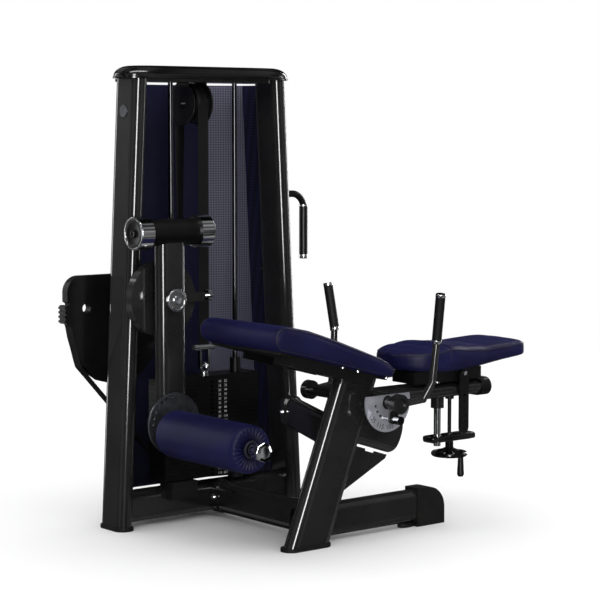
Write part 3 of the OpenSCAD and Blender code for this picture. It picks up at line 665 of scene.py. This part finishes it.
def back_cushion():
    """Back pad with a narrowing nose and a seam across it."""
    stations = [399, 403, 410, 421, 436, 455, 478, 504, 530, 560, 590, 620, 660, 700, 750, 800,
                850, 900, 925, 940, 949, 954, 957]
    piece = inflate(lofted("back_cushion", [back_section(x) for x in stations]), 0.005)
    under = at(0, 0, 560).z
    sew(piece, lambda p: back_seam(p) if p.z > under else 1, 0.003, 0.004)
    settle(piece, "back_cushion", VINYL, "backrest", 70)
    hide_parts("back_pad")
    # the welt runs round the pad, 9 mm under its top, with closer points at nose and tail
    run = ([400 + 2 * k for k in range(12)] + [424 + 12 * k for k in range(42)]
           + [924 + 3 * k for k in range(11)])
    edge = [(x, max(6, back_half_width(x) + 2)) for x in run]
    edge += [(x, -y) for x, y in edge[::-1]]
    path = [at(x, BACK_Y + y, blend_table(x, BACK_TOP) - 9) for x, y in edge]
    welt("back_welt", piece, path, 0.0015, "backrest")


ROLLER_X, ROLLER_Z = -303, 362
ROLLER_FAR, ROLLER_NEAR = -236, -681
PLEATS = 28


def roller_loop(y, radius, pleat, count=8 * PLEATS):
    """One ring of the roller's cover. pleat is the depth of the gathers at its end."""
    loop = []
    for i in range(count):
        a = 2 * math.pi * i / count
        fold = math.cos(PLEATS * a + 0.6 * math.sin(3 * a))
        reach = radius + 0.35 * pleat * fold
        loop.append(at(ROLLER_X + reach * math.cos(a), y + pleat * fold,
                       ROLLER_Z + reach * math.sin(a)))
    return loop


def finer(rows, steps=3):
    """More rows between the given ones, on a smooth curve through them."""
    made = []
    for i in range(len(rows) - 1):
        a, b, c, d = rows[max(0, i - 1)], rows[i], rows[i + 1], rows[min(len(rows) - 1, i + 2)]
        for k in range(steps):
            t = k / steps
            made.append([q + 0.5 * t * (r - p + t * (2 * p - 5 * q + 4 * r - w
                                                     + t * (3 * (q - r) + w - p)))
                         for p, q, r, w in zip(a, b, c, d)])
    return made + [list(rows[-1])]


def roller_cushion():
    """Round cushion whose cover is gathered into pleats at its open end."""
    # distance in from each end, radius and pleat depth, all in millimetres
    from_far = [(5, 22.5, 0.0), (3, 40, 0.5), (0, 62, 0.4), (2, 74, 0), (8, 80, 0), (18, 81.6, 0),
                (60, 82, 0), (150, 82.3, 0), (222, 82.4, 0)]
    from_near = [(150, 82.3, 0), (60, 82, 0), (24, 81.4, 0), (12, 79.5, 0.3), (4, 75, 0.8),
                 (1, 68, 1.3), (1, 58, 1.9), (3, 48, 2.5), (6, 39, 2.8), (10, 31, 2.6),
                 (15, 25, 1.6), (20, 22.5, 0.6)]
    rows = ([(ROLLER_FAR - d, radius, pleat) for d, radius, pleat in from_far]
            + [(ROLLER_NEAR + d, radius, pleat) for d, radius, pleat in from_near])
    piece = lofted("roller_cushion", [roller_loop(*row) for row in finer(rows)])
    settle(piece, "roller_cushion", VINYL, "roller", 80)
    ring("roller_throat", (ROLLER_X, ROLLER_NEAR, ROLLER_Z), (ROLLER_X, ROLLER_NEAR + 9, ROLLER_Z),
         22.3, 31, WELT, "roller")
    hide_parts("ankle_roller")


# ---------------------------------------------------------------- belt

BELT_WIDTH, BELT_THICK = 44, 3
CLAMP_Z, STACK_TRAVEL = 606, 349
TOP_WHEEL_Z, TOP_RADIUS = 1500, 72.5
LOW_WHEEL_X, LOW_WHEEL_Z, LOW_RADIUS = -45, 190, 45
REAR_Y = 2 * TOP_RADIUS
LOW_WRAP = 138
CAM_END = (-444.3, REAR_Y, 565.3)


def lift_belt():
    """Front run of the belt, from the clamp up to the top pulley."""
    length = TOP_WHEEL_Z - CLAMP_Z
    deselect()
    bpy.ops.mesh.primitive_cube_add(size=1, location=at(0, 0, (CLAMP_Z + TOP_WHEEL_Z) / 2))
    piece = bpy.context.object
    piece.scale = (BELT_WIDTH / 1000, BELT_THICK / 1000, length / 1000)
    bpy.ops.object.transform_apply(location=False, rotation=False, scale=True)
    bpy.ops.object.mode_set(mode="EDIT")
    bpy.ops.mesh.select_all(action="SELECT")
    bpy.ops.mesh.subdivide(number_cuts=6)
    bpy.ops.object.mode_set(mode="OBJECT")
    rounded(piece, 0.0008, 2)
    settle(piece, "front_belt_run", BELT, "frame")
    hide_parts("lift_belt")
    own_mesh(piece)


def belt_section(place, across, through):
    """Cross section of the belt at a point of the design, with its corners eased."""
    across = Vector(across).normalized() * (BELT_WIDTH / 2)
    through = Vector(through).normalized() * (BELT_THICK / 2)
    corners = [(0.97, 1), (1, 0.5), (1, -0.5), (0.97, -1), (-0.97, -1), (-1, -0.5), (-1, 0.5),
               (-0.97, 1)]
    return [at(*(Vector(place) + across * a + through * b)) for a, b in corners]


def on_low_wheel(degrees):
    """The way out from the low wheel's axle, and the point of its rim on that side."""
    a = math.radians(degrees)
    out = Vector((math.cos(a), 0, math.sin(a)))
    return out, Vector((LOW_WHEEL_X, REAR_Y, LOW_WHEEL_Z)) + out * LOW_RADIUS


def pulley_belt():
    """The belt over the top pulley, down the back with a quarter turn, and round the low pulley."""
    loops = []
    over, down, under = 24, 60, 18
    for k in range(over + 1):
        a = math.pi * k / over
        out = Vector((0, -math.cos(a), math.sin(a)))
        loops.append(belt_section(Vector((0, TOP_RADIUS, TOP_WHEEL_Z)) + out * TOP_RADIUS,
                                  (1, 0, 0), out))
    for k in range(1, down + 1):
        t = k / down
        a = math.pi / 2 * t
        loops.append(belt_section((0, REAR_Y, TOP_WHEEL_Z - (TOP_WHEEL_Z - LOW_WHEEL_Z) * t),
                                  (math.cos(a), math.sin(a), 0), (-math.sin(a), math.cos(a), 0)))
    for k in range(1, under + 1):
        out, rim = on_low_wheel(-LOW_WRAP * k / under)
        loops.append(belt_section(rim, (0, 1, 0), -out))
    piece = lofted("pulley_belt_run", loops)
    settle(piece, "pulley_belt_run", BELT, "frame", 50)
    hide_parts("return_belt")


def cam_run():
    """The straight run from the low pulley to the cam."""
    foot, end = on_low_wheel(-LOW_WRAP)[1], Vector(CAM_END)
    way = (end - foot).normalized()
    side = Vector((way.z, 0, -way.x))
    steps = 64
    piece = lofted("cam_belt_run", [belt_section(foot + (end - foot) * (k / steps), (0, 1, 0), side)
                                    for k in range(steps + 1)])
    only(piece)
    bpy.ops.object.shade_smooth_by_angle(angle=math.radians(50))
    coat(piece, BELT)
    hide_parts("return_belt")
    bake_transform(piece)


# ---------------------------------------------------------------- small fittings

BENCH_Y = -560
GRIP_RADIUS, HANDLE_RADIUS = 17.6, 12.6
PIVOT_X, PIVOT_Z = -270, 820
WEIGHT_Y, WEIGHT_Z = -170, 1053


def grip_ends():
    """Turned rings at both ends of the two hand grips and of the entry handle's grip."""
    for tag, side in (("near", -1), ("far", 1)):
        low = Vector((378, BENCH_Y + side * 272, 690))
        high = Vector((370, BENCH_Y + side * 298, 840))
        axis = (high - low).normalized()
        ring(f"grip_cap_{tag}", high - axis, high + axis * 12, 0, GRIP_RADIUS, CHROME, "carriage",
             0.003)
        ring(f"grip_collar_{tag}", low - axis * 11, low + axis, HANDLE_RADIUS, GRIP_RADIUS, CHROME,
             "carriage")
    ring("entry_grip_collar", (450, -20, 1119), (450, -20, 1128), HANDLE_RADIUS, 16.8, CHROME,
         "frame")
    ring("entry_grip_cap", (450, -20, 941), (450, -20, 924), 0, 16.8, CHROME, "frame",
         0.003)


def hexagon(angle, size):
    """Distance from the middle of a hexagon to its edge at an angle."""
    return size * math.cos(math.pi / 6) / math.cos(angle % (math.pi / 3) - math.pi / 6)


def socket_screw(name, place, direction, radius, height, finish, body, socket=0.55,
                 depth=0.6):
    """A round head with a hexagon socket sunk in it, standing on place. The socket's size is a
    share of the radius, and its depth is a share of the height."""
    direction = Vector(direction).normalized()
    deselect()
    bpy.ops.mesh.primitive_cylinder_add(vertices=36, radius=radius / 1000, depth=height / 1000)
    piece = bpy.context.object
    bpy.ops.object.mode_set(mode="EDIT")
    pick_caps(piece, top_only=True)
    bpy.ops.mesh.inset(thickness=radius / 1000 * 0.14)
    bpy.ops.mesh.inset(thickness=radius / 1000 * (0.86 - socket))
    mesh = bmesh.from_edit_mesh(piece.data)
    for face in mesh.faces:
        if face.select:
            for v in face.verts:
                reach = hexagon(math.atan2(v.co.y, v.co.x), radius / 1000 * socket)
                v.co.xy = v.co.xy.normalized() * reach
    bmesh.update_edit_mesh(piece.data)
    sink = (0, 0, -height / 1000 * depth)
    bpy.ops.mesh.extrude_region_move(TRANSFORM_OT_translate={"value": sink})
    bpy.ops.object.mode_set(mode="OBJECT")
    along(piece, direction)
    piece.location = at(*place) + direction * (height / 2000)
    rounded(piece, min(radius * 0.08, height * 0.2) / 1000, 2, 50)
    return settle(piece, name, finish, body)


def end_caps():
    """Dark recessed faces of the counterweight, and the screws that hold things on."""
    for tag, x, way in (("left", -417, -1), ("right", -113, 1)):
        ring(f"counterweight_rim_{tag}", (x - way * 3, WEIGHT_Y, WEIGHT_Z),
             (x + way * 2.5, WEIGHT_Y, WEIGHT_Z), 49, 56.6, CHROME, "lever_arm")
        socket_screw(f"counterweight_face_{tag}", (x - way, WEIGHT_Y, WEIGHT_Z), (way, 0, 0), 49.2,
                     2.4, PLATE, "lever_arm", 0.9, 0.1)
        socket_screw(f"counterweight_screw_{tag}", (x + way * 0.6, WEIGHT_Y, WEIGHT_Z),
                     (way, 0, 0), 13, 6, WHEEL, "lever_arm")
    socket_screw("pivot_screw", (PIVOT_X, -215.4, PIVOT_Z), (0, -1, 0), 15, 6, CHROME, "swing")
    ring("pivot_washer", (PIVOT_X, -215, PIVOT_Z), (PIVOT_X, -218, PIVOT_Z), 30, 39, CHROME,
         "swing")
    # these follow the underside of the seat, which slopes
    for tag, x in (("front", 12), ("middle", 78), ("rear", 205)):
        socket_screw(f"seat_screw_{tag}", (x, -764, 687 - 0.264 * (x + 242)), (0.2, -0.5, -1), 7,
                     6, CHROME, "frame")
    for name, place, body in (("back_plate_screw", (702, -634.5, 530), "backrest"),
                              ("housing_screw", (235, -639, 452), "frame")):
        socket_screw(name, place, (0, -1, 0), 8, 5, CHROME, body)


def end_knob():
    """Eight-sided polished knob that holds the roller on."""
    deselect()
    bpy.ops.mesh.primitive_cylinder_add(vertices=8, radius=0.0325, depth=0.035,
                                        location=at(ROLLER_X, -727.5, ROLLER_Z))
    piece = bpy.context.object
    along(piece, (0, -1, 0))
    bpy.ops.object.mode_set(mode="EDIT")
    pick_caps(piece, top_only=True)
    bpy.ops.mesh.extrude_region_shrink_fatten(TRANSFORM_OT_shrink_fatten={"value": 0.005})
    bpy.ops.transform.resize(value=(0.62, 0.62, 0.62))
    bpy.ops.object.mode_set(mode="OBJECT")
    rounded(piece, 0.0012, 2, 20)
    settle(piece, "roller_end_knob", CHROME, "crank", 12)


def cross_plate():
    """Moulded block with soft corners that ties the two columns and the screw together."""
    low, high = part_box("adjust_columns")
    middle = (low + high) / 2
    deselect()
    bpy.ops.mesh.primitive_cube_add(size=1, location=(middle.x, middle.y, at(0, 0, 289).z))
    piece = bpy.context.object
    piece.scale = (high.x - low.x + 0.002, high.y - low.y + 0.002, 0.0245)
    bpy.ops.object.transform_apply(location=False, rotation=False, scale=True)
    rounded(piece, 0.009, 4, 60)
    settle(piece, "column_cross_plate", LID, "backrest")


def lid_outline(inset_x, inset_y, z, count=120):
    """Plan of the tower's lid at a height: long straight sides and broad rounded ends."""
    low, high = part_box("top_cap")
    middle, half = (low + high) / 2, (high - low) / 2
    loop = []
    for i in range(count):
        a = 2 * math.pi * i / count
        x = (half.x - inset_x / 1000) * squared(math.cos(a), 0.36)
        y = (half.y - inset_y / 1000) * squared(math.sin(a), 0.62)
        loop.append(Vector((middle.x + x, middle.y + y, z / 1000)))
    return loop


def lid():
    """Moulded lid: a thin lip, a step above it, then a long soft roll over the ends."""
    rows = [(7, 7, 1585.2), (1.5, 1.5, 1585.2), (0, 0, 1586.5), (0, 0, 1591), (1.5, 1.5, 1592.5),
            (2.5, 2.5, 1593.5)]
    steps = 14
    for i in range(1, steps + 1):
        a = math.pi / 2 * i / steps
        inward = 1 - math.cos(a)
        rows.append((2.5 + 60 * inward, 2.5 + 30 * inward, 1593.5 + 36.3 * math.sin(a)))
    rows.append((150, 70, 1629.9))
    piece = lofted("tower_lid", [lid_outline(*row) for row in rows])
    settle(piece, "tower_lid", LID, "frame", 30)
    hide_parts("top_cap")


HEM_FOOT, HEM_TOP = 92, 141


def shroud_hem():
    """Folded hem that carries the shroud's sheet down behind the base beam."""
    # the tower leans in by 2.88 degrees on each side, from the shroud's foot to its top
    spread = (1570 - 140) * math.tan(math.radians(2.88))
    folds = [(335 + spread, 55), (300 + spread, 160), (170, 210), (-170, 210),
             (-265 - spread, 148), (-303 - spread, 76)]
    # each section has the outer face's fold and the inner face's, 2 mm apart
    loops = [[at(x, y, HEM_FOOT), at(x * 0.994, y - 2, HEM_FOOT), at(x * 0.994, y - 2, HEM_TOP),
              at(x, y, HEM_TOP)] for x, y in folds]
    piece = lofted("shroud_hem", loops)
    rounded(piece, 0.0006, 2, 60)
    settle(piece, "shroud_hem", SHEET, "frame")


def numerals(name, entries, size, finish, body):
    """Printed numbers, joined as one piece. Each entry is (words, place, turn about -Y)."""
    made = []
    for words, place, turn in entries:
        deselect()
        bpy.ops.object.text_add(location=place)
        item = bpy.context.object
        item.data.body, item.data.size = words, size
        item.data.align_x, item.data.align_y = "CENTER", "CENTER"
        item.data.extrude = 0.0002
        item.data.resolution_u = 3
        item.rotation_euler = (math.pi / 2, 0, 0)
        item.rotation_mode = "XYZ"
        item.rotation_euler.rotate_axis("Z", turn)
        bpy.ops.object.convert(target="MESH")
        bpy.ops.object.transform_apply(location=True, rotation=True, scale=True)
        made.append(bpy.context.object)
    deselect()
    for item in made:
        item.select_set(True)
    bpy.context.view_layer.objects.active = made[0]
    bpy.ops.object.join()
    return settle(bpy.context.object, name, finish, body)


HINGE_X, HINGE_Z = 235, 478
STACK_TOP, PLATE_PITCH, PLATE_FACE = 504, 16, -50.2


def printed_numbers():
    """Angles on the scale disc, and kilograms and pounds on the weight plates."""
    scale = []
    for k, words in enumerate(("125", "115", "105", "95")):
        a = math.radians(-144 + 30 * k)
        place = at(HINGE_X + 85 * math.cos(a), -743.2, HINGE_Z + 85 * math.sin(a))
        scale.append((words, place, a + math.pi / 2))
    numerals("angle_scale_numbers", scale, 0.024, BLACK, "frame")
    for name, body, first, last in (("lifted_plate_numbers", "stack", 0, 10),
                                    ("resting_plate_numbers", "frame", 10, 22)):
        labels = []
        for i in range(first, last):
            z = STACK_TOP - (i + 0.5) * PLATE_PITCH
            labels.append((str(5 * (i + 2)), at(34, PLATE_FACE, z), 0))
            labels.append((str(11 * (i + 2)), at(60, PLATE_FACE, z), 0))
        numerals(name, labels, 0.0125, WHITE, body)


camera()
finish_cad()
studio()
seat_cushion()
back_cushion()
roller_cushion()
lift_belt()
pulley_belt()
cam_run()
grip_ends()
end_caps()
end_knob()
cross_plate()
lid()
shroud_hem()
printed_numbers()
